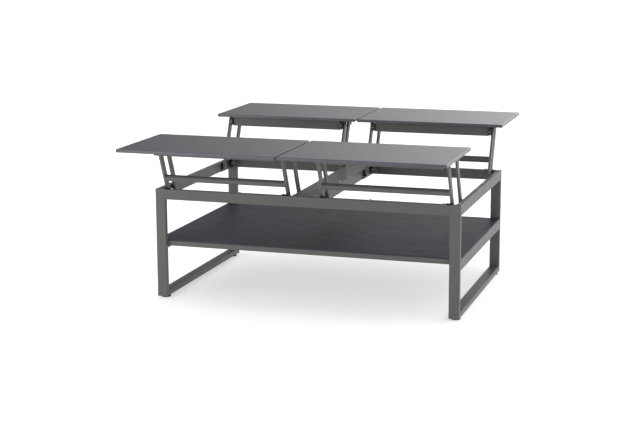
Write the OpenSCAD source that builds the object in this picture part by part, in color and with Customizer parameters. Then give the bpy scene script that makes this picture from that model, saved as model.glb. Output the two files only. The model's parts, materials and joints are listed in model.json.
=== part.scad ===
// Coffee table with four separate tops that swing up and outward.
// Millimetres, +Z up, +X along the length, front towards -Y.
// The origin is on the floor under the middle of the table.
// Drawn with all four tops raised.

/* [Overall] */
// length of the frame, without the overhanging tops
table_l = 1200; // [960:10:1500]
// depth of the frame, without the overhanging tops
table_d = 800; // [660:10:1000]
// height of the top of the frame above the floor
frame_h = 434; // [360:1:540]

/* [Frame tube] */
// wide side of the tube
tube_w = 40; // [32:1:50]
// narrow side of the tube
tube_t = 20; // [16:1:25]
// outside corner radius of the tube
tube_r = 2; // [1:0.5:3]
// width of the beam between the left and right tops
beam_w = 100; // [80:2:130]

/* [Shelf] */
// height of the top of the shelf above the floor
shelf_h = 234; // [180:1:260]
// thickness of the shelf panel
shelf_t = 6; // [4:0.5:10]

/* [Feet and bumpers] */
// height of the foot glides
glide_h = 8; // [5:0.5:14]
// radius of the foot glides
glide_r = 18; // [12:0.5:20]
// distance of the glides from the front and rear faces
glide_inset = 35; // [30:1:80]
// space between the frame and a lowered top
rest_gap = 4; // [3:0.5:8]
// radius of the round bumpers
bumper_r = 5; // [3:0.5:8]

/* [Tops] */
// thickness of the table tops
slab_t = 12; // [8:0.5:20]
// overhang of the tops past the ends of the frame
overhang_x = 15; // [0:1:40]
// overhang of the tops past the front and rear of the frame
overhang_y = 10; // [0:1:40]
// gap between neighbouring tops when they are down
top_gap = 10; // [4:1:20]
// radius of the slab edges
slab_edge_r = 1.5; // [0.5:0.25:3]
// distance of the outer rail under a top from the main arm pivot
outer_rail_offset = 55; // [40:1:90]
// distance of the inner rail under a top from the guide arm pivot
inner_rail_offset = 8; // [0:1:12]

/* [Lifting arms] */
// width of an arm
arm_w = 24; // [18:0.5:24]
// thickness of an arm
arm_t = 8; // [5:0.5:9]
// angle of the raised arms past upright
arm_lean = 24; // [14:0.5:30]
// distance between the two arms of a pair
arm_spacing = 93; // [70:1:110]
// distance of the lower pivots below the top of the frame
pivot_drop = 20; // [18:0.5:25]
// distance of the upper pivots below the slab
pivot_depth = 12.8; // [12.6:0.1:15]
// distance of the upper guide pivot from the inner edge of its top
pivot_inset = 46; // [30:0.5:60]
// radius of the pivot pins
pin_r = 4; // [3:0.25:5]
// radius of the tube that joins the two main arms
cross_r = 12.5; // [8:0.5:15]
// distance of that tube from the lower pivot
cross_at = 69; // [50:1:90]

/* [Hidden] */
$fn = 48;

half_l = table_l / 2;
half_d = table_d / 2;
rail_z = frame_h - tube_w;

// Side to side positions are measured from the rail or beam face that carries the arms.
bracket_t = 3;
washer_t = 2;
arm_gap = 2;
guide_u = bracket_t + washer_t;
main_u = guide_u + arm_t + arm_gap;
subframe_gap = 3;
subframe_u = main_u + arm_t + subframe_gap;
outer_face = half_l - tube_t;
inner_face = beam_w / 2;

// Clearances: fits at pins, running faces and stops.
pin_fit = 0.1;
open_pin_fit = 0.25;
side_play = 0.1;
stop_gap = 0.3;

// Heights of a lowered top and of the pivots.
slab_low_z = frame_h + rest_gap;
lower_z = frame_h - pivot_drop;
upper_low_z = slab_low_z - pivot_depth;
pivot_rise = upper_low_z - lower_z;

// The raised main arm just clears the inner edge of the frame.
main_setback = (arm_w / 2 + stop_gap) / cos(arm_lean) + pivot_drop * tan(arm_lean);
main_lower_y = half_d - tube_t - main_setback;
guide_lower_y = main_lower_y - arm_spacing;

// Arm length from the space between the pivots when the top is down.
guide_low_y = top_gap / 2 + pivot_inset;
arm_reach = guide_lower_y - guide_low_y;
arm_len = sqrt(arm_reach * arm_reach + pivot_rise * pivot_rise);
arm_closed = atan2(pivot_rise, arm_reach);

// How far a top moves from lowered to raised.
move_y = arm_reach + arm_len * sin(arm_lean);
move_z = arm_len * cos(arm_lean) - pivot_rise;

main_upper_y = main_lower_y + arm_len * sin(arm_lean);
guide_upper_y = guide_lower_y + arm_len * sin(arm_lean);
upper_z = lower_z + arm_len * cos(arm_lean);
slab_z = slab_low_z + move_z;

slab_x0 = top_gap / 2;
slab_x1 = half_l + overhang_x;
slab_y0 = top_gap / 2 + move_y;
slab_y1 = half_d + overhang_y + move_y;
subframe_x0 = inner_face + subframe_u;
subframe_x1 = outer_face - subframe_u;
outer_rail_y = main_upper_y + outer_rail_offset;
inner_rail_y = guide_upper_y - inner_rail_offset;

// Small parts.
shoulder_r = 7;
head_r = 7;
thin_head_t = 1.4;
lower_head_t = 4;
upper_head_t = 2.4;
pin_lap = 1;
face_gap = 0.8;
bracket_past_guide = 20;
bracket_end_gap = 2;
bracket_top_gap = 3;
bracket_y0 = guide_lower_y - bracket_past_guide;
bracket_y1 = half_d - tube_t - bracket_end_gap;
screw_r = 4.5;
screw_head_t = 2.5;
screw_rows = [6, 28];
block_w = 36;
block_h = 28;
block_front = 28;
block_gap = 8;
bumper_h = rest_gap - stop_gap;
bumper_centre_y = 62;
bumper_end_gap = 8;
bumper_end_y = half_d - tube_t - bumper_end_gap;
bumper_beam_inset = 8;
bumper_end_inset = 20;
bumper_front_share = 0.43;
stop_w = 24;
stop_l = 11;
stop_lead = 1;
slab_corner_r = 2 * slab_edge_r;

// Colours.
frame_grey = [0.30, 0.30, 0.29];
top_grey = [0.33, 0.33, 0.35];
shelf_grey = [0.19, 0.20, 0.22];
black = [0.06, 0.06, 0.06];
steel = [0.55, 0.55, 0.56];
clear_grey = [0.62, 0.62, 0.62];

// ---------- helpers ----------

// rectangle with rounded corners, one corner at the origin
module rounded_rect(w, h, r) {
  union() {
    translate([r, 0]) square([w - 2 * r, h]);
    translate([0, r]) square([w, h - 2 * r]);
    for (x = [r, w - r]) {
      for (y = [r, h - r]) {
        translate([x, y]) circle(r);
      }
    }
  }
}

// extrude a drawing of the Y-Z plane along X, starting at x
module along_x(x, length) {
  translate([x, 0, 0])
    rotate([90, 0, 90])
      linear_extrude(length) children();
}

// extrude a drawing of the X-Z plane along Y, starting at y
module along_y(y, length) {
  translate([0, y + length, 0])
    rotate([90, 0, 0])
      linear_extrude(length) children();
}

// bars of rounded tube stock, given by their lowest corner
module bar_x(corner, length, depth, height) {
  along_x(corner[0], length)
    translate([corner[1], corner[2]]) rounded_rect(depth, height, tube_r);
}

module bar_y(corner, length, width, height) {
  along_y(corner[1], length)
    translate([corner[0], corner[2]]) rounded_rect(width, height, tube_r);
}

module bar_z(corner, length, width, depth) {
  translate(corner)
    linear_extrude(length) rounded_rect(width, depth, tube_r);
}

// round piece along X, from x0 to x1
module round_x(x0, x1, y, z, r) {
  translate([x0, y, z])
    rotate([0, 90, 0]) cylinder(h = x1 - x0, r = r);
}

// everything below is drawn for the rear right top and turned to the others
module rear_right() {
  children();
}

module rear_left() {
  mirror([1, 0, 0]) children();
}

module front_right() {
  mirror([0, 1, 0]) children();
}

module front_left() {
  rotate([0, 0, 180]) children();
}

module in_each_quarter() {
  rear_right() children();
  rear_left() children();
  front_right() children();
  front_left() children();
}

// the end of a top that meets the side rail
module outer_end() {
  translate([outer_face, 0, 0])
    mirror([1, 0, 0]) children();
}

// the end of a top that meets the centre beam
module inner_end() {
  translate([inner_face, 0, 0]) children();
}

module at_both_ends() {
  outer_end() children();
  inner_end() children();
}

// ---------- frame ----------

module front_rail() {
  color(frame_grey)
    bar_x([tube_w - half_l, -half_d, rail_z], table_l - 2 * tube_w, tube_t, tube_w);
}

module rear_rail() {
  color(frame_grey)
    bar_x([tube_w - half_l, half_d - tube_t, rail_z], table_l - 2 * tube_w, tube_t, tube_w);
}

module side_rail(x) {
  color(frame_grey)
    bar_y([x, tube_t - half_d, rail_z], table_d - 2 * tube_t, tube_t, tube_w);
}

module left_rail() {
  side_rail(-half_l);
}

module right_rail() {
  side_rail(half_l - tube_t);
}

module centre_beam() {
  color(frame_grey)
    bar_y([-beam_w / 2, tube_t - half_d, rail_z], table_d - 2 * tube_t, beam_w, tube_w);
}

module leg() {
  color(frame_grey)
    bar_z([half_l - tube_w, half_d - tube_t, glide_h], frame_h - glide_h, tube_w, tube_t);
}

module front_left_leg() {
  front_left() leg();
}

module front_right_leg() {
  front_right() leg();
}

module rear_left_leg() {
  rear_left() leg();
}

module rear_right_leg() {
  rear_right() leg();
}

module floor_rail(x) {
  color(frame_grey)
    bar_y([x, tube_t - half_d, glide_h], table_d - 2 * tube_t, tube_w, tube_t);
}

module left_floor_rail() {
  floor_rail(-half_l);
}

module right_floor_rail() {
  floor_rail(half_l - tube_w);
}

// ---------- shelf ----------

module shelf_side_rail(x) {
  color(frame_grey)
    bar_y([x, tube_t - half_d, shelf_h - shelf_t - tube_w], table_d - 2 * tube_t, tube_t, tube_w);
}

module left_shelf_rail() {
  shelf_side_rail(-half_l);
}

module right_shelf_rail() {
  shelf_side_rail(half_l - tube_t);
}

module shelf_cross_rail(y) {
  color(frame_grey)
    bar_x([tube_t - half_l, y, shelf_h - shelf_t - tube_t], table_l - 2 * tube_t, tube_w, tube_t);
}

module front_shelf_rail() {
  shelf_cross_rail(tube_t - half_d);
}

module rear_shelf_rail() {
  shelf_cross_rail(half_d - tube_t - tube_w);
}

module shelf_panel() {
  color(shelf_grey)
    translate([-half_l, tube_t - half_d, shelf_h - shelf_t])
      cube([table_l, table_d - 2 * tube_t, shelf_t]);
}

// ---------- feet, bumpers and stops ----------

module foot_glides() {
  color(black)
    in_each_quarter()
      translate([half_l - tube_w / 2, half_d - glide_inset, 0])
        cylinder(h = glide_h, r = glide_r);
}

module bumper(x, y) {
  translate([x, y, frame_h])
    cylinder(h = bumper_h, r = bumper_r);
}

module rest_bumpers() {
  color(clear_grey)
    in_each_quarter() {
      for (y = [bumper_centre_y, bumper_end_y]) {
        bumper(half_l - tube_t / 2, y);
        bumper(beam_w / 2 - bumper_beam_inset, y);
      }
      bumper(subframe_x1 - bumper_end_inset, half_d - tube_t / 2);
      bumper(bumper_front_share * half_l, half_d - tube_t / 2);
    }
}

// pad on top of the frame that a raised main arm leans on
module arm_stop() {
  pad_top = frame_h + bumper_h;
  edge_y = main_lower_y + (pad_top - lower_z) * tan(arm_lean) + arm_w / 2 / cos(arm_lean);
  translate([main_u - stop_lead, edge_y + stop_gap, frame_h])
    cube([stop_w, stop_l, bumper_h]);
}

module arm_stops() {
  color(black)
    in_each_quarter() at_both_ends() arm_stop();
}

// ---------- lower brackets and pivots ----------

module arm_bracket() {
  translate([0, bracket_y0, rail_z])
    cube([bracket_t, bracket_y1 - bracket_y0, tube_w - bracket_top_gap]);
}

module arm_brackets() {
  color(black)
    in_each_quarter() at_both_ends() arm_bracket();
}

module bracket_screw_pair() {
  y = (main_lower_y + guide_lower_y) / 2;
  for (z = screw_rows) {
    round_x(bracket_t, bracket_t + screw_head_t, y, rail_z + z, screw_r);
  }
}

module bracket_screws() {
  color(steel)
    in_each_quarter() at_both_ends() bracket_screw_pair();
}

// stud on the bracket: shoulder, shaft through the arm, head
module lower_stud(y, arm_u, head_t) {
  shoulder_end = arm_u - side_play;
  shaft_end = arm_u + arm_t + side_play;
  union() {
    round_x(bracket_t, shoulder_end, y, lower_z, shoulder_r);
    round_x(shoulder_end - pin_lap, shaft_end + pin_lap, y, lower_z, pin_r);
    round_x(shaft_end, shaft_end + head_t, y, lower_z, head_r);
  }
}

module lower_pins() {
  color(steel)
    in_each_quarter() at_both_ends() {
      lower_stud(main_lower_y, main_u, lower_head_t);
      lower_stud(guide_lower_y, guide_u, thin_head_t);
    }
}

// ---------- arms ----------

// flat bar with rounded ends and a hole at each end, leaning outward
module arm_outline(foot_y, upper_hole_r) {
  translate([foot_y, lower_z])
    rotate(90 - arm_lean)
      difference() {
        union() {
          translate([0, -arm_w / 2]) square([arm_len, arm_w]);
          circle(arm_w / 2);
          translate([arm_len, 0]) circle(arm_w / 2);
        }
        circle(pin_r + pin_fit);
        translate([arm_len, 0]) circle(upper_hole_r);
      }
}

module main_arms() {
  color(frame_grey)
    at_both_ends()
      along_x(main_u, arm_t) arm_outline(main_lower_y, pin_r + pin_fit);
}

module guide_arms() {
  color(frame_grey)
    at_both_ends()
      along_x(guide_u, arm_t) arm_outline(guide_lower_y, pin_r + open_pin_fit);
}

module cross_tube() {
  color(frame_grey)
    round_x(
      inner_face + main_u + arm_t,
      outer_face - main_u - arm_t,
      main_lower_y + cross_at * sin(arm_lean),
      lower_z + cross_at * cos(arm_lean),
      cross_r
    );
}

// ---------- tops ----------

// plate with all its edges rounded
module slab() {
  w = slab_x1 - slab_x0;
  d = slab_y1 - slab_y0;
  r = slab_edge_r;
  color(top_grey)
    translate([slab_x0, slab_y0, slab_z])
      intersection() {
        linear_extrude(slab_t) rounded_rect(w, d, slab_corner_r);
        along_x(0, w) rounded_rect(d, slab_t, r);
        along_y(0, d) rounded_rect(w, slab_t, r);
      }
}

module slab_rail(y) {
  color(frame_grey)
    bar_x([subframe_x0, y - tube_t / 2, slab_z - tube_w], subframe_x1 - subframe_x0, tube_t, tube_w);
}

module inner_rail() {
  slab_rail(inner_rail_y);
}

module outer_rail() {
  slab_rail(outer_rail_y);
}

module end_rails() {
  y0 = inner_rail_y + tube_t / 2;
  y1 = outer_rail_y - tube_t / 2;
  color(frame_grey)
    for (x = [subframe_x0, subframe_x1 - tube_t]) {
      bar_y([x, y0, slab_z - tube_w], y1 - y0, tube_t, tube_w);
    }
}

// block between the end of the inner rail and the guide arm
module pivot_block() {
  u0 = guide_u + arm_t + side_play;
  translate([u0, guide_upper_y - block_front, slab_z - block_gap - block_h])
    cube([subframe_u - u0, block_w, block_h]);
}

module pivot_blocks() {
  color(black)
    at_both_ends() pivot_block();
}

// stud on the end rail that carries the main arm
module main_top_stud() {
  u0 = main_u - side_play;
  u1 = main_u + arm_t + side_play;
  union() {
    round_x(u1, subframe_u, main_upper_y, upper_z, shoulder_r);
    round_x(u0 - pin_lap, u1 + pin_lap, main_upper_y, upper_z, pin_r);
    round_x(u0 - thin_head_t, u0, main_upper_y, upper_z, head_r);
  }
}

// stud on the pivot block that the guide arm slips onto
module guide_top_stud() {
  u0 = guide_u - side_play;
  u1 = guide_u + arm_t + side_play;
  head_u = max(u0 - upper_head_t, face_gap);
  union() {
    round_x(u0, u1, guide_upper_y, upper_z, pin_r);
    round_x(head_u, u0, guide_upper_y, upper_z, head_r);
  }
}

module top_pins() {
  color(steel)
    at_both_ends() {
      main_top_stud();
      guide_top_stud();
    }
}

// ---------- drawing ----------

front_rail();
rear_rail();
left_rail();
right_rail();
centre_beam();
front_left_leg();
front_right_leg();
rear_left_leg();
rear_right_leg();
left_floor_rail();
right_floor_rail();
left_shelf_rail();
right_shelf_rail();
front_shelf_rail();
rear_shelf_rail();
shelf_panel();
foot_glides();
rest_bumpers();
arm_stops();
arm_brackets();
bracket_screws();
lower_pins();
front_left() slab();  // front_left_slab
front_left() inner_rail();  // front_left_inner_rail
front_left() outer_rail();  // front_left_outer_rail
front_left() end_rails();  // front_left_end_rails
front_left() pivot_blocks();  // front_left_pivot_blocks
front_left() top_pins();  // front_left_top_pins
front_left() main_arms();  // front_left_main_arms
front_left() cross_tube();  // front_left_cross_tube
front_left() guide_arms();  // front_left_guide_arms
front_right() slab();  // front_right_slab
front_right() inner_rail();  // front_right_inner_rail
front_right() outer_rail();  // front_right_outer_rail
front_right() end_rails();  // front_right_end_rails
front_right() pivot_blocks();  // front_right_pivot_blocks
front_right() top_pins();  // front_right_top_pins
front_right() main_arms();  // front_right_main_arms
front_right() cross_tube();  // front_right_cross_tube
front_right() guide_arms();  // front_right_guide_arms
rear_left() slab();  // rear_left_slab
rear_left() inner_rail();  // rear_left_inner_rail
rear_left() outer_rail();  // rear_left_outer_rail
rear_left() end_rails();  // rear_left_end_rails
rear_left() pivot_blocks();  // rear_left_pivot_blocks
rear_left() top_pins();  // rear_left_top_pins
rear_left() main_arms();  // rear_left_main_arms
rear_left() cross_tube();  // rear_left_cross_tube
rear_left() guide_arms();  // rear_left_guide_arms
rear_right() slab();  // rear_right_slab
rear_right() inner_rail();  // rear_right_inner_rail
rear_right() outer_rail();  // rear_right_outer_rail
rear_right() end_rails();  // rear_right_end_rails
rear_right() pivot_blocks();  // rear_right_pivot_blocks
rear_right() top_pins();  // rear_right_top_pins
rear_right() main_arms();  // rear_right_main_arms
rear_right() cross_tube();  // rear_right_cross_tube
rear_right() guide_arms();  // rear_right_guide_arms
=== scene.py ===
"""Looks of a lift top coffee table: materials, weld beads, bolts, edges, light and camera."""

import json
import math

import bmesh
import bpy
from mathutils import Matrix, Vector


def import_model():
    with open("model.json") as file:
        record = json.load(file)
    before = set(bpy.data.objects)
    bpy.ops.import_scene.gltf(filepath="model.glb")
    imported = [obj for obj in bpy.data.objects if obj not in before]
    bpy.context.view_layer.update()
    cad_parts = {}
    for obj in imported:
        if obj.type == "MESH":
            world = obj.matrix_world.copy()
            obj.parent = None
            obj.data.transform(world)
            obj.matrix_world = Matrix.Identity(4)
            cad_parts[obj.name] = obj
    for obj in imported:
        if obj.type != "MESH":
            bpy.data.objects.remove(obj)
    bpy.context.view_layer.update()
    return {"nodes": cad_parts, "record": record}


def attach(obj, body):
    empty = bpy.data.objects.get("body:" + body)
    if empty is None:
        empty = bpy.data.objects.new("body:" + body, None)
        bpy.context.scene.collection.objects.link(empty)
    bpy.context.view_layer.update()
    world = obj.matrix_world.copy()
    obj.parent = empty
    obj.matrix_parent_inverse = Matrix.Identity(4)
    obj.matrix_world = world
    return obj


MM = 0.001
MERGE = 0.01 * MM
QUARTERS = ("front_left", "front_right", "rear_left", "rear_right")

# ---------- camera ----------

# Fitted to the straight edges of the frame in the photo. Metres, and millimetres for the lens.
CAMERA_AT = Vector((1.683, -5.518, 1.461))
CAMERA_YAW = math.radians(17.63)
CAMERA_PITCH = math.radians(-11.38)
CAMERA_ROLL = math.radians(-0.21)
LENS = 83.2
SENSOR = 36.0
CLIP_END = 100.0


# ---------- node helpers ----------

# Most of a noise texture's values lie in this span, so ramps are stretched over it.
NOISE_SPAN = (0.3, 0.7)


class Shade:
    """A material being built, with short ways to add and join its nodes."""

    def __init__(self, name):
        self.material = bpy.data.materials.new(name)
        self.material.use_nodes = True
        self.tree = self.material.node_tree
        self.tree.nodes.clear()
        self.output = self.add("ShaderNodeOutputMaterial")
        self.bsdf = self.add("ShaderNodeBsdfPrincipled")
        self.tree.links.new(self.bsdf.outputs["BSDF"], self.output.inputs["Surface"])
        self.coords = self.add("ShaderNodeTexCoord").outputs["Object"]

    def add(self, kind, **settings):
        node = self.tree.nodes.new(kind)
        for key, value in settings.items():
            setattr(node, key, value)
        return node

    def link(self, source, target):
        self.tree.links.new(source, target)

    def noise(self, scale, detail, rough):
        node = self.add("ShaderNodeTexNoise")
        node.inputs["Scale"].default_value = scale
        node.inputs["Detail"].default_value = detail
        node.inputs["Roughness"].default_value = rough
        self.link(self.coords, node.inputs["Vector"])
        return node.outputs["Fac"]

    def ramp(self, fac, low, high, at=NOISE_SPAN):
        node = self.add("ShaderNodeValToRGB")
        first, last = node.color_ramp.elements
        first.position, last.position = at
        first.color = (*low, 1.0)
        last.color = (*high, 1.0)
        self.link(fac, node.inputs["Fac"])
        return node.outputs["Color"]

    def range(self, fac, low, high, at=(0.0, 1.0)):
        node = self.add("ShaderNodeMapRange")
        node.inputs["From Min"].default_value = at[0]
        node.inputs["From Max"].default_value = at[1]
        node.inputs["To Min"].default_value = low
        node.inputs["To Max"].default_value = high
        self.link(fac, node.inputs["Value"])
        return node.outputs["Result"]

    def mix(self, fac, a, b):
        node = self.add("ShaderNodeMix", data_type="RGBA")
        self.link(fac, node.inputs["Factor"])
        for socket, value in ((node.inputs["A"], a), (node.inputs["B"], b)):
            if isinstance(value, tuple):
                socket.default_value = (*value, 1.0)
            else:
                self.link(value, socket)
        return node.outputs["Result"]

    def edges(self, radius):
        """1 on sharp edges, 0 on flat faces, from how far a bevelled normal turns."""
        turned, flat = 0.55, 0.95
        bevel = self.add("ShaderNodeBevel", samples=4)
        bevel.inputs["Radius"].default_value = radius
        geometry = self.add("ShaderNodeNewGeometry")
        dot = self.add("ShaderNodeVectorMath", operation="DOT_PRODUCT")
        self.link(bevel.outputs["Normal"], dot.inputs[0])
        self.link(geometry.outputs["Normal"], dot.inputs[1])
        return self.range(dot.outputs["Value"], 1.0, 0.0, (turned, flat))

    def bump(self, height, strength, distance, before=None):
        node = self.add("ShaderNodeBump")
        node.inputs["Strength"].default_value = strength
        node.inputs["Distance"].default_value = distance
        self.link(height, node.inputs["Height"])
        if before is not None:
            self.link(before, node.inputs["Normal"])
        return node.outputs["Normal"]

    def surface(self, color, roughness, normal, metallic=0.0, specular=0.5):
        self.link(color, self.bsdf.inputs["Base Color"])
        self.link(roughness, self.bsdf.inputs["Roughness"])
        self.link(normal, self.bsdf.inputs["Normal"])
        self.bsdf.inputs["Metallic"].default_value = metallic
        self.bsdf.inputs["Specular IOR Level"].default_value = specular
        return self.material


# ---------- materials ----------

def frame_paint():
    """Warm grey powder coat: fine orange peel, faint clouding, and a painted highlight that makes its
    edges slightly paler.
    """
    s = Shade("frame_paint")
    cloud = s.noise(6.0, 4.0, 0.6)
    grain = s.noise(900.0, 2.0, 0.6)
    color = s.ramp(cloud, (0.100, 0.101, 0.096), (0.112, 0.113, 0.108))
    color = s.mix(s.range(grain, 0.0, 0.35, (0.45, 0.75)), color, (0.155, 0.155, 0.148))
    # Painted highlight: the sharp edges are mixed towards a paler grey, as if rounded corners caught
    # the light.
    color = s.mix(s.range(s.edges(0.0012), 0.0, 0.35), color, (0.22, 0.22, 0.212))
    roughness = s.range(s.noise(35.0, 4.0, 0.6), 0.36, 0.46, NOISE_SPAN)
    peel = s.bump(s.noise(420.0, 2.0, 0.5), 0.22, 0.0004)
    return s.surface(color, roughness, s.bump(grain, 0.10, 0.0001, peel), specular=0.2)


def top_laminate():
    """Dark grey compact laminate with a faint violet cast and a fine pressed grain."""
    s = Shade("top_laminate")
    cloud = s.noise(3.5, 5.0, 0.6)
    speck = s.noise(900.0, 2.0, 0.7)
    color = s.ramp(cloud, (0.051, 0.048, 0.064), (0.057, 0.054, 0.071))
    color = s.mix(s.range(speck, 0.0, 0.45, (0.5, 0.8)), color, (0.10, 0.096, 0.118))
    roughness = s.range(s.noise(22.0, 5.0, 0.65), 0.27, 0.30, NOISE_SPAN)
    pressed = s.bump(s.noise(450.0, 3.0, 0.6), 0.20, 0.0003)
    return s.surface(color, roughness, s.bump(speck, 0.12, 0.0001, pressed))


def shelf_laminate():
    """Darker, bluer board than the tops."""
    s = Shade("shelf_laminate")
    cloud = s.noise(3.0, 5.0, 0.6)
    speck = s.noise(1200.0, 2.0, 0.7)
    color = s.ramp(cloud, (0.025, 0.027, 0.037), (0.030, 0.032, 0.043))
    color = s.mix(s.range(speck, 0.0, 0.4, (0.5, 0.8)), color, (0.053, 0.056, 0.075))
    roughness = s.range(s.noise(18.0, 5.0, 0.65), 0.48, 0.56, NOISE_SPAN)
    pressed = s.bump(s.noise(600.0, 3.0, 0.6), 0.25, 0.0003)
    return s.surface(color, roughness, pressed, specular=0.25)


def zinc_steel():
    """Dark zinc plate with a cloudy passivated bloom."""
    s = Shade("zinc_steel")
    cloud = s.noise(60.0, 4.0, 0.6)
    color = s.ramp(cloud, (0.16, 0.16, 0.165), (0.28, 0.28, 0.28))
    roughness = s.range(s.noise(240.0, 3.0, 0.6), 0.30, 0.48, NOISE_SPAN)
    return s.surface(color, roughness, s.bump(s.noise(900.0, 2.0, 0.5), 0.15, 0.0002), metallic=0.9)


def black_paint():
    """Thin black paint on folded plate, with a painted grey highlight along its edges."""
    s = Shade("black_paint")
    grain = s.noise(800.0, 2.0, 0.6)
    color = s.ramp(s.noise(30.0, 4.0, 0.6), (0.007, 0.007, 0.008), (0.013, 0.013, 0.014))
    # Painted highlight: the sharp edges are mixed towards grey, as if they caught the light.
    color = s.mix(s.range(s.edges(0.0008), 0.0, 0.3), color, (0.08, 0.08, 0.08))
    roughness = s.range(grain, 0.38, 0.52, NOISE_SPAN)
    return s.surface(color, roughness, s.bump(grain, 0.2, 0.0002), specular=0.4)


def weld_paint():
    """The frame paint where it has run thin over the ripples of a weld."""
    s = Shade("weld_paint")
    cloud = s.noise(160.0, 4.0, 0.6)
    color = s.ramp(cloud, (0.105, 0.105, 0.100), (0.150, 0.150, 0.143))
    roughness = s.range(cloud, 0.30, 0.45, NOISE_SPAN)
    return s.surface(color, roughness, s.bump(s.noise(700.0, 3.0, 0.6), 0.25, 0.0003))


def black_plastic():
    """Moulded black plastic with a fine spark texture."""
    s = Shade("black_plastic")
    spark = s.noise(1500.0, 2.0, 0.6)
    color = s.ramp(s.noise(40.0, 3.0, 0.5), (0.012, 0.012, 0.013), (0.022, 0.022, 0.023))
    roughness = s.range(spark, 0.45, 0.62, NOISE_SPAN)
    return s.surface(color, roughness, s.bump(spark, 0.35, 0.0002))


def black_rubber():
    """Dull rubber, dusty where it is rubbed."""
    s = Shade("black_rubber")
    dust = s.noise(120.0, 5.0, 0.7)
    color = s.ramp(dust, (0.010, 0.010, 0.010), (0.024, 0.024, 0.023), (0.35, 0.75))
    roughness = s.range(dust, 0.62, 0.82, NOISE_SPAN)
    return s.surface(color, roughness, s.bump(s.noise(700.0, 3.0, 0.6), 0.3, 0.0003), specular=0.2)


def grey_bumper():
    """Translucent pale bumper, darker in random patches where dust has stuck."""
    s = Shade("grey_bumper")
    cloud = s.noise(200.0, 3.0, 0.6)
    color = s.ramp(cloud, (0.42, 0.42, 0.41), (0.58, 0.58, 0.57))
    roughness = s.range(s.noise(500.0, 2.0, 0.5), 0.35, 0.5, NOISE_SPAN)
    return s.surface(color, roughness, s.bump(cloud, 0.1, 0.0002))


def studio_floor(glow):
    """Seamless white paper lit from within, so the shadow under the table stays pale."""
    s = Shade("studio_floor")
    tooth = s.noise(40.0, 3.0, 0.5)
    color = s.ramp(tooth, (0.80, 0.80, 0.80), (0.83, 0.83, 0.83))
    roughness = s.range(tooth, 0.85, 0.95, NOISE_SPAN)
    s.bsdf.inputs["Emission Color"].default_value = (1.0, 1.0, 1.0, 1.0)
    s.bsdf.inputs["Emission Strength"].default_value = glow
    return s.surface(color, roughness, s.bump(tooth, 0.05, 0.0005), specular=0.2)


MATERIALS = {
    "frame_paint": frame_paint,
    "top_laminate": top_laminate,
    "shelf_laminate": shelf_laminate,
    "zinc_steel": zinc_steel,
    "black_paint": black_paint,
    "black_plastic": black_plastic,
    "black_rubber": black_rubber,
    "grey_bumper": grey_bumper,
    "weld_paint": weld_paint,
}


def paint_nodes(frame, materials):
    """Every CAD node gets the detailed material of its slot in the record."""
    for part in frame["record"]["subparts"]:
        node = frame["nodes"][part["node"]]
        node.data.materials.clear()
        node.data.materials.append(materials[part["material_slot"]])


# ---------- soft edges ----------

SOFT_ANGLE = math.radians(50.0)
# Width of the soft edge in millimetres, by slot. Painted tube, arms and tops keep the CAD's own edges.
SOFT_SLOTS = {
    "black_paint": 0.4,
    "black_plastic": 0.6,
    "black_rubber": 0.8,
    "grey_bumper": 1.0,
    "zinc_steel": 0.5,
    "shelf_laminate": 0.5,
}


def soften(node, width):
    """Round the sharp edges of a node."""
    weld = node.modifiers.new("join", "WELD")
    weld.merge_threshold = MERGE
    bevel = node.modifiers.new("soft_edge", "BEVEL")
    bevel.width = width * MM
    bevel.segments = 2
    bevel.limit_method = "ANGLE"
    bevel.angle_limit = SOFT_ANGLE


def soften_nodes(frame):
    for part in frame["record"]["subparts"]:
        width = SOFT_SLOTS.get(part["material_slot"])
        if width:
            soften(frame["nodes"][part["node"]], width)


# ---------- where the solids are ----------

def islands(node):
    """World boxes (low, high) of the separate solids in a node."""
    solid = bmesh.new()
    solid.from_mesh(node.data)
    solid.transform(node.matrix_world)
    bmesh.ops.remove_doubles(solid, verts=solid.verts, dist=MERGE)
    left = set(solid.verts)
    boxes = []
    while left:
        found = [left.pop()]
        island = []
        while found:
            vert = found.pop()
            island.append(vert.co.copy())
            for edge in vert.link_edges:
                other = edge.other_vert(vert)
                if other in left:
                    left.remove(other)
                    found.append(other)
        low = Vector([min(co[i] for co in island) for i in range(3)])
        high = Vector([max(co[i] for co in island) for i in range(3)])
        boxes.append((low, high))
    solid.free()
    return sorted(boxes, key=lambda box: tuple(box[0]))


def middle(box):
    return (box[0] + box[1]) / 2


def top_middle(frame):
    """Distance along X from the middle of the table to the middle of each top."""
    return abs(middle(islands(frame["nodes"]["front_right_slab"])[0]).x)


def inward(x, top_x):
    """Which way along X faces the middle of the nearest top."""
    return -1.0 if (abs(x) > top_x) == (x > 0) else 1.0


# ---------- mesh helpers ----------

HEAD_SIDES = 24


def piece(name, solid, material, body):
    """Turn a finished bmesh into an object that moves with a body."""
    bmesh.ops.recalc_face_normals(solid, faces=solid.faces)
    for face in solid.faces:
        face.smooth = True
    mesh = bpy.data.meshes.new(name)
    solid.to_mesh(mesh)
    solid.free()
    mesh.materials.append(material)
    made = bpy.data.objects.new(name, mesh)
    bpy.context.collection.objects.link(made)
    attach(made, body)


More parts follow.
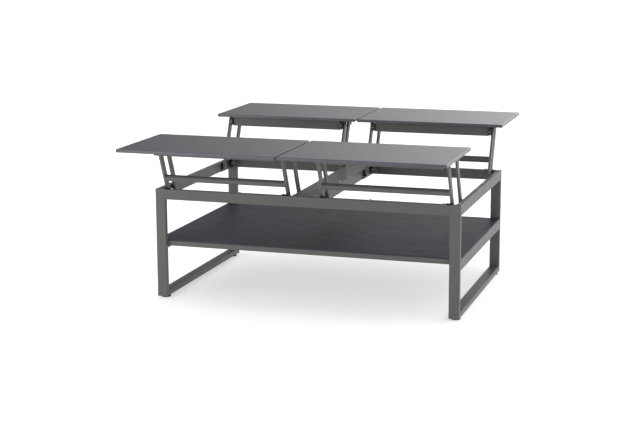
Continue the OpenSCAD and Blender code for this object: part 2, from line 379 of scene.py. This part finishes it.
def lathe(solid, centre, direction, profile):
    """Stack of rings around an axis; each profile entry is (radius, height, ring shape)."""
    axis = Vector(direction)
    across = Vector((0.0, 0.0, 1.0)) if abs(axis.z) < 0.5 else Vector((1.0, 0.0, 0.0))
    u = axis.cross(across).normalized()
    v = axis.cross(u).normalized()
    rings = []
    for radius, height, shape in profile:
        ring = []
        for step in range(HEAD_SIDES):
            angle = 2.0 * math.pi * step / HEAD_SIDES
            reach = radius * shape(angle)
            spot = centre + axis * height + u * reach * math.cos(angle) + v * reach * math.sin(angle)
            ring.append(solid.verts.new(spot))
        rings.append(ring)
    for inner, outer in zip(rings, rings[1:]):
        for step in range(HEAD_SIDES):
            after = (step + 1) % HEAD_SIDES
            solid.faces.new((inner[step], inner[after], outer[after], outer[step]))
    solid.faces.new(rings[0])
    solid.faces.new(rings[-1])


def round_ring(angle):
    return 1.0


def hex_ring(angle):
    """Hexagon given by the distance to its flats."""
    part = (angle + math.pi / 6.0) % (math.pi / 3.0) - math.pi / 6.0
    return 1.0 / math.cos(part)


# ---------- bolt and screw heads ----------

# Radius and height of each head, and half the width across the flats of its socket.
BRACKET_SCREW = (4.3 * MM, 0.8 * MM, 1.6 * MM)
LOWER_PIN = (6.4 * MM, 1.2 * MM, 2.5 * MM)
BLOCK_SCREW = (4.2 * MM, 1.8 * MM, 1.5 * MM)
SOCKET_CHAMFER = 0.3 * MM
# Pins closer than this to the outermost one, along Y, are in its row.
SAME_ROW = 10.0 * MM


def socket_head(solid, centre, direction, radius, height, socket):
    """Button head with a hexagon socket, standing on a face at the given centre."""
    floor = 0.15 * height
    mouth = 0.92 * height
    shoulder = 0.85 * height
    waist = 0.5 * height
    lathe(solid, centre, direction, (
        (0.2 * socket, floor, hex_ring),
        (socket, floor, hex_ring),
        (socket, mouth, hex_ring),
        (socket + SOCKET_CHAMFER, height, hex_ring),
        (0.82 * radius, shoulder, round_ring),
        (0.95 * radius, waist, round_ring),
        (0.99 * radius, 0.0, round_ring),
    ))


def bracket_screw_heads(frame, materials):
    """Sockets on the screws that hold the lower brackets."""
    solid = bmesh.new()
    top_x = top_middle(frame)
    for box in islands(frame["nodes"]["bracket_screws"]):
        spot = middle(box)
        way = inward(spot.x, top_x)
        spot.x = box[1].x if way > 0 else box[0].x
        socket_head(solid, spot, (way, 0.0, 0.0), *BRACKET_SCREW)
    piece("bracket_screw_sockets", solid, materials["zinc_steel"], "frame")


def lower_pin_heads(frame, materials):
    """Sockets on the lower pivots of the main arms, which are the rows furthest from the middle."""
    solid = bmesh.new()
    top_x = top_middle(frame)
    boxes = islands(frame["nodes"]["lower_pins"])
    far = max(abs(middle(box).y) for box in boxes)
    for box in boxes:
        spot = middle(box)
        if far - abs(spot.y) < SAME_ROW:
            way = inward(spot.x, top_x)
            spot.x = box[1].x if way > 0 else box[0].x
            socket_head(solid, spot, (way, 0.0, 0.0), *LOWER_PIN)
    piece("lower_pivot_sockets", solid, materials["zinc_steel"], "frame")


def block_screw_heads(frame, materials, quarter):
    """One socket screw in the face of each pivot block that looks to the middle of the table."""
    solid = bmesh.new()
    for box in islands(frame["nodes"][f"{quarter}_pivot_blocks"]):
        spot = middle(box)
        back = spot.y > 0
        spot.y = box[0].y if back else box[1].y
        way = -1.0 if back else 1.0
        socket_head(solid, spot, (0.0, way, 0.0), *BLOCK_SCREW)
    piece(f"{quarter}_block_screws", solid, materials["zinc_steel"], f"{quarter}_top")


# ---------- weld beads ----------

# Radius of a bead, distance between its rings, corners of a ring, and length and depth of its ripples.
BEAD_R = 2.2 * MM
BEAD_STEP = 1.6 * MM
BEAD_SIDES = 6
RIPPLE = 3.2 * MM
RIPPLE_DEPTH = 0.14
# Tubes no further apart than TOUCH are welded, where one steps back from the other by more than LIP.
TOUCH = 0.2 * MM
LIP = 3.0 * MM


def bead(solid, path, closed=False):
    """Rippled bead along a path of (centre, side, side) points."""
    rings = []
    for step, (centre, u, v) in enumerate(path):
        swell = 1.0 + RIPPLE_DEPTH * math.sin(2.0 * math.pi * step * BEAD_STEP / RIPPLE)
        ring = []
        for side in range(BEAD_SIDES):
            angle = 2.0 * math.pi * side / BEAD_SIDES
            out = u * math.cos(angle) + v * math.sin(angle)
            ring.append(solid.verts.new(centre + out * BEAD_R * swell))
        rings.append(ring)
    pairs = list(zip(rings, rings[1:]))
    if closed:
        pairs.append((rings[-1], rings[0]))
    for before, after in pairs:
        for side in range(BEAD_SIDES):
            nxt = (side + 1) % BEAD_SIDES
            solid.faces.new((before[side], before[nxt], after[nxt], after[side]))
    if not closed:
        solid.faces.new(rings[0])
        solid.faces.new(rings[-1])


def straight_bead(solid, start, end):
    along = end - start
    steps = max(2, round(along.length / BEAD_STEP))
    axis = along.normalized()
    u = axis.orthogonal().normalized()
    v = axis.cross(u)
    bead(solid, [(start + along * step / steps, u, v) for step in range(steps + 1)])


def ring_bead(solid, centre, radius):
    """Bead round a tube that runs along X."""
    steps = round(2.0 * math.pi * radius / BEAD_STEP)
    path = []
    for step in range(steps):
        angle = 2.0 * math.pi * step / steps
        out = Vector((0.0, math.cos(angle), math.sin(angle)))
        path.append((centre + out * radius, out, Vector((1.0, 0.0, 0.0))))
    bead(solid, path, closed=True)


def inside_corners(a, b):
    """Edges of the patch where two boxes meet, where one of them ends and the other runs on."""
    for axis in range(3):
        for low, high in ((a, b), (b, a)):
            if abs(low[1][axis] - high[0][axis]) > TOUCH:
                continue
            first, second = [i for i in range(3) if i != axis]
            start = Vector((max(low[0][i], high[0][i]) for i in range(3)))
            stop = Vector((min(low[1][i], high[1][i]) for i in range(3)))
            start[axis] = stop[axis] = low[1][axis]
            if stop[first] - start[first] < LIP or stop[second] - start[second] < LIP:
                continue
            for across, run in ((first, second), (second, first)):
                for end, patch in ((0, start), (1, stop)):
                    if abs(low[end][across] - high[end][across]) > LIP:
                        one = start.copy()
                        two = stop.copy()
                        one[across] = two[across] = patch[across]
                        one[run] += BEAD_R
                        two[run] -= BEAD_R
                        yield one, two


def weld_tubes(names, frame, materials, title, body):
    """Beads in the inside corners of every pair of tubes that touch."""
    solid = bmesh.new()
    bars = [box for name in names for box in islands(frame["nodes"][name])]
    for index, bar in enumerate(bars):
        for other in bars[index + 1:]:
            for start, end in inside_corners(bar, other):
                straight_bead(solid, start, end)
    piece(title, solid, materials["weld_paint"], body)


def weld_cross_tube(frame, materials, quarter):
    """A bead round each end of the tube between the main arms."""
    solid = bmesh.new()
    low, high = islands(frame["nodes"][f"{quarter}_cross_tube"])[0]
    radius = (high.y - low.y) / 2
    for x in (low.x, high.x):
        centre = middle((low, high))
        centre.x = x
        ring_bead(solid, centre, radius)
    piece(f"{quarter}_cross_welds", solid, materials["weld_paint"], f"{quarter}_main_link")


def add_details(frame, materials):
    parts = frame["record"]["subparts"]
    painted = [part["node"] for part in parts if part["material_slot"] == "frame_paint"]
    in_a_quarter = tuple(f"{quarter}_" for quarter in QUARTERS)
    tubes = [name for name in painted if name.endswith("_leg") or not name.startswith(in_a_quarter)]
    weld_tubes(tubes, frame, materials, "frame_welds", "frame")
    bracket_screw_heads(frame, materials)
    lower_pin_heads(frame, materials)
    for quarter in QUARTERS:
        rails = [f"{quarter}_{kind}" for kind in ("inner_rail", "outer_rail", "end_rails")]
        weld_tubes(rails, frame, materials, f"{quarter}_top_welds", f"{quarter}_top")
        weld_cross_tube(frame, materials, quarter)
        block_screw_heads(frame, materials, quarter)


# ---------- stage ----------

# Soft light from all round: compass direction, height (both in degrees), sharpness and strength.
# 0 degrees is behind the table and 90 degrees is to its right.
LOBES = (
    (0.0, 90.0, 2.0, 1.4),
    (180.0, 0.0, 2.0, 0.15),
    (-2.0, 5.0, 8.0, 0.25),
    (10.0, 3.0, 17.0, 3.5),
    (80.0, 5.0, 4.0, 1.3),
)

# One large soft panel to the left of the camera, in metres and watts.
PANEL_AT = (-2.4, -4.0, 1.1)
PANEL_TOWARD = (0.0, 0.0, 0.5)
PANEL_SIZE = (3.0, 2.0)
PANEL_POWER = 74.0

FLOOR_HALF = 30.0
FLOOR_GLOW = 0.52


def studio_light():
    """A room brightest low behind the table, with a white backdrop above the floor's far edge."""
    world = bpy.data.worlds.new("studio")
    world.use_nodes = True
    tree = world.node_tree
    way = tree.nodes.new("ShaderNodeTexCoord").outputs["Generated"]
    total = None
    for compass, height, sharpness, strength in LOBES:
        turn = math.radians(compass)
        rise = math.radians(height)
        toward = (math.sin(turn) * math.cos(rise), math.cos(turn) * math.cos(rise), math.sin(rise))
        facing = tree.nodes.new("ShaderNodeVectorMath")
        facing.operation = "DOT_PRODUCT"
        facing.inputs[1].default_value = toward
        tree.links.new(way, facing.inputs[0])
        steps = (("MAXIMUM", 0.0), ("POWER", sharpness), ("MULTIPLY", strength))
        value = facing.outputs["Value"]
        for operation, number in steps:
            value = math_node(tree, operation, value, number)
        total = value if total is None else math_node(tree, "ADD", total, value)
    # Where the camera looks past the floor, it sees at least plain white.
    seen = tree.nodes.new("ShaderNodeLightPath").outputs["Is Camera Ray"]
    total = math_node(tree, "ADD", total, seen)
    background = tree.nodes["Background"]
    background.inputs["Color"].default_value = (1.0, 1.0, 1.0, 1.0)
    tree.links.new(total, background.inputs["Strength"])
    bpy.context.scene.world = world


def math_node(tree, operation, first, second):
    node = tree.nodes.new("ShaderNodeMath")
    node.operation = operation
    for socket, value in zip(node.inputs, (first, second)):
        if isinstance(value, float):
            socket.default_value = value
        else:
            tree.links.new(value, socket)
    return node.outputs["Value"]


def area_light(name, at, toward, size, power):
    data = bpy.data.lights.new(name, "AREA")
    data.shape = "RECTANGLE"
    data.size, data.size_y = size
    data.energy = power
    light = bpy.data.objects.new(name, data)
    light.location = at
    light.visible_camera = False
    light.rotation_euler = (Vector(toward) - Vector(at)).to_track_quat("-Z", "Y").to_euler()
    bpy.context.collection.objects.link(light)


def studio_floor_plane(material, half):
    mesh = bpy.data.meshes.new("floor")
    corners = [(-half, -half, 0), (half, -half, 0), (half, half, 0), (-half, half, 0)]
    mesh.from_pydata(corners, [], [(0, 1, 2, 3)])
    mesh.materials.append(material)
    floor = bpy.data.objects.new("floor", mesh)
    bpy.context.collection.objects.link(floor)


def camera():
    data = bpy.data.cameras.new("camera")
    data.sensor_width = SENSOR
    data.lens = LENS
    data.clip_end = CLIP_END
    eye = bpy.data.objects.new("camera", data)
    turn = Matrix.Rotation(CAMERA_YAW, 4, "Z")
    tilt = Matrix.Rotation(math.pi / 2 + CAMERA_PITCH, 4, "X")
    roll = Matrix.Rotation(CAMERA_ROLL, 4, "Z")
    eye.matrix_world = Matrix.Translation(CAMERA_AT) @ turn @ tilt @ roll
    bpy.context.collection.objects.link(eye)
    bpy.context.scene.camera = eye


def main():
    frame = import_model()
    materials = {slot: make() for slot, make in MATERIALS.items()}
    paint_nodes(frame, materials)
    camera()
    soften_nodes(frame)
    add_details(frame, materials)
    studio_light()
    area_light("front_left_panel", PANEL_AT, PANEL_TOWARD, PANEL_SIZE, PANEL_POWER)
    studio_floor_plane(studio_floor(FLOOR_GLOW), FLOOR_HALF)
    bpy.context.scene.view_settings.view_transform = "Standard"


main()
